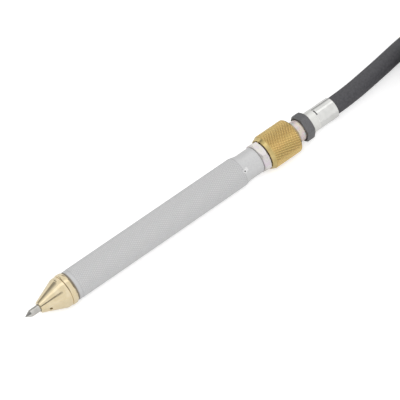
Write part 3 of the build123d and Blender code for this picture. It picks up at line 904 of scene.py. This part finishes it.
# Camera at the photograph's viewing angle
azimuth = math.radians(-39.16)
elevation = math.radians(57.21)
distance = 923.5 * mm
aim_x = 8.225 * mm
aim_shift = 0.82 * mm
aim_direction = math.radians(-55.6)  # of the shift, in the picture
focal_length = 2286  # in the photograph's pixels
photo_width = 400
film_width = 36  # in millimetres, as the camera counts
level = math.cos(elevation)
backward = Vector((math.sin(azimuth) * level, -math.cos(azimuth) * level, math.sin(elevation)))
rightward = Vector((math.cos(azimuth), math.sin(azimuth), 0))
upward = backward.cross(rightward)
target = Vector((aim_x, 0, axis_height))
target += (rightward * math.cos(aim_direction) + upward * math.sin(aim_direction)) * aim_shift
lens = bpy.data.cameras.new("camera")
lens.sensor_width = film_width
lens.lens = film_width * focal_length / photo_width
lens.clip_start = 0.01
lens.clip_end = 20
camera = put("camera", lens)
camera.location = target + backward * distance
camera.rotation_euler = backward.to_track_quat("Z", "Y").to_euler()
bpy.context.scene.camera = camera

# Stage
world_light = 0.75
floor_half = 3
floor_glow = 0.45  # to the eye
floor_mirrored_glow = 0.06  # in polished surfaces


def seen_shares(tree):
    """Where the camera sees a surface straight on, and where it sees it by way of metal or glass."""
    path = tree.nodes.new("ShaderNodeLightPath").outputs
    return path["Is Camera Ray"], larger(tree, path["Is Glossy Ray"], path["Is Transmission Ray"])


def white_world():
    """White surroundings that light the pen softly."""
    world = bpy.data.worlds.new("studio")
    bpy.context.scene.world = world
    world.use_nodes = True
    tree = world.node_tree
    soft = tree.nodes["Background"]
    plain = tree.nodes.new("ShaderNodeBackground")
    for sky, strength in ((soft, world_light), (plain, 1)):
        socket(sky, "Color", (1, 1, 1, 1))
        socket(sky, "Strength", strength)
    seen = larger(tree, *seen_shares(tree))
    shown = mixed(tree, seen, soft.outputs["Background"], plain.outputs["Background"])
    tree.links.new(shown, tree.nodes["World Output"].inputs["Surface"])


def plane_piece(name, middle, across, up, made):
    """Flat stage piece from its middle and two half sides."""
    mesh = bpy.data.meshes.new(name)
    mesh.from_pydata([(-1, -1, 0), (1, -1, 0), (1, 1, 0), (-1, 1, 0)], [], [(0, 1, 2, 3)])
    mesh.materials.append(made)
    piece = put(name, mesh)
    normal = Vector(across).cross(Vector(up))
    piece.matrix_world = Matrix(((*across, 0), (*up, 0), (*normal, 0), (*middle, 1))).transposed()
    return piece


def white_floor():
    """Pale floor, a little brighter than white to the eye where no shadow falls."""
    made, tree, shader = material("floor", colour=(0.8, 0.8, 0.8), roughness=0.9)
    direct, mirrored = seen_shares(tree)
    shown = shader.outputs["BSDF"]
    for share, strength in ((direct, floor_glow), (mirrored, floor_mirrored_glow)):
        glow = tree.nodes.new("ShaderNodeEmission")
        socket(glow, "Strength", strength)
        both = tree.nodes.new("ShaderNodeAddShader")
        tree.links.new(shader.outputs["BSDF"], both.inputs[0])
        tree.links.new(glow.outputs["Emission"], both.inputs[1])
        shown = mixed(tree, share, shown, both.outputs["Shader"])
    tree.links.new(shown, tree.nodes["Material Output"].inputs["Surface"])
    plane_piece("floor", (0, 0, 0), (floor_half, 0, 0), (0, floor_half, 0), made)


def softbox(name, place, aim, width, height, power):
    """Large soft lamp that shines from a place towards a point."""
    lamp = bpy.data.lights.new(name, "AREA")
    lamp.shape = "RECTANGLE"
    lamp.size = width
    lamp.size_y = height
    lamp.energy = power
    piece = put(name, lamp)
    piece.location = place
    piece.rotation_euler = (Vector(place) - Vector(aim)).to_track_quat("Z", "Y").to_euler()
    piece.visible_glossy = False


def card(name, middle, across, up, grey, fade):
    """Grey card that only polished surfaces see, turning white over a share of it at its upper edge."""
    made = bpy.data.materials.new(name)
    made.use_nodes = True
    tree = made.node_tree
    tree.nodes.remove(tree.nodes["Principled BSDF"])
    parts = tree.nodes.new("ShaderNodeSeparateXYZ")
    tree.links.new(object_place(tree), parts.inputs["Vector"])
    glow = tree.nodes.new("ShaderNodeEmission")
    tree.links.new(remapped(tree, parts.outputs["Y"], 1 - 2 * fade, 1, grey, 1), glow.inputs["Strength"])
    tree.links.new(glow.outputs["Emission"], tree.nodes["Material Output"].inputs["Surface"])
    piece = plane_piece(name, middle, across, up, made)
    piece.visible_camera = False
    piece.visible_diffuse = False
    piece.visible_shadow = False
    piece.visible_transmission = False


def far_card(name, start, end, rise):
    """Card along the pen's far side, sloping down towards the rear."""
    slope = -0.326
    far = 0.6
    middle = (start + end) / 2
    half = (end - start) / 2
    card(name, middle=(middle, far, rise + slope * middle), across=(half, 0, slope * half),
         up=(0.06, 0, 0.26), grey=0.36, fade=0.6)


white_world()
white_floor()
softbox("key", place=(-0.5, -0.5, 1.3), aim=(0, 0, 0), width=0.9, height=0.9, power=9)
far_card("far_front_card", start=-0.95, end=-0.1, rise=0.3)
far_card("far_rear_card", start=0.22, end=0.95, rise=0.24)
card("front_card", middle=(-0.9, 0, 0.7), across=(0, 0.9, 0), up=(0, 0, 0.68), grey=0.35, fade=0.2)
card("rear_card", middle=(1.1, 0, 0.4), across=(0, 0.6, 0), up=(0, 0, 0.38), grey=0.25, fade=0.2)
card("bright_strip", middle=(0, 0.45, 1.2), across=(0, 0.25, 0), up=(1.2, 0, 0), grey=1.3, fade=0.01)
card("rod_card", middle=(0.05, 0.6, 0.2), across=(0.055, 0, 0), up=(0, 0, 0.2), grey=0.15, fade=0.05)
lens_place = Vector((-0.577, -0.37, 0.74))
lens_side = lens_place.cross((1, 0, 0)).normalized()
card("lens_card", middle=lens_place, across=lens_side * 0.08, up=(0.05, 0, 0), grey=0.05, fade=0.05)
bpy.context.scene.view_settings.view_transform = "Standard"
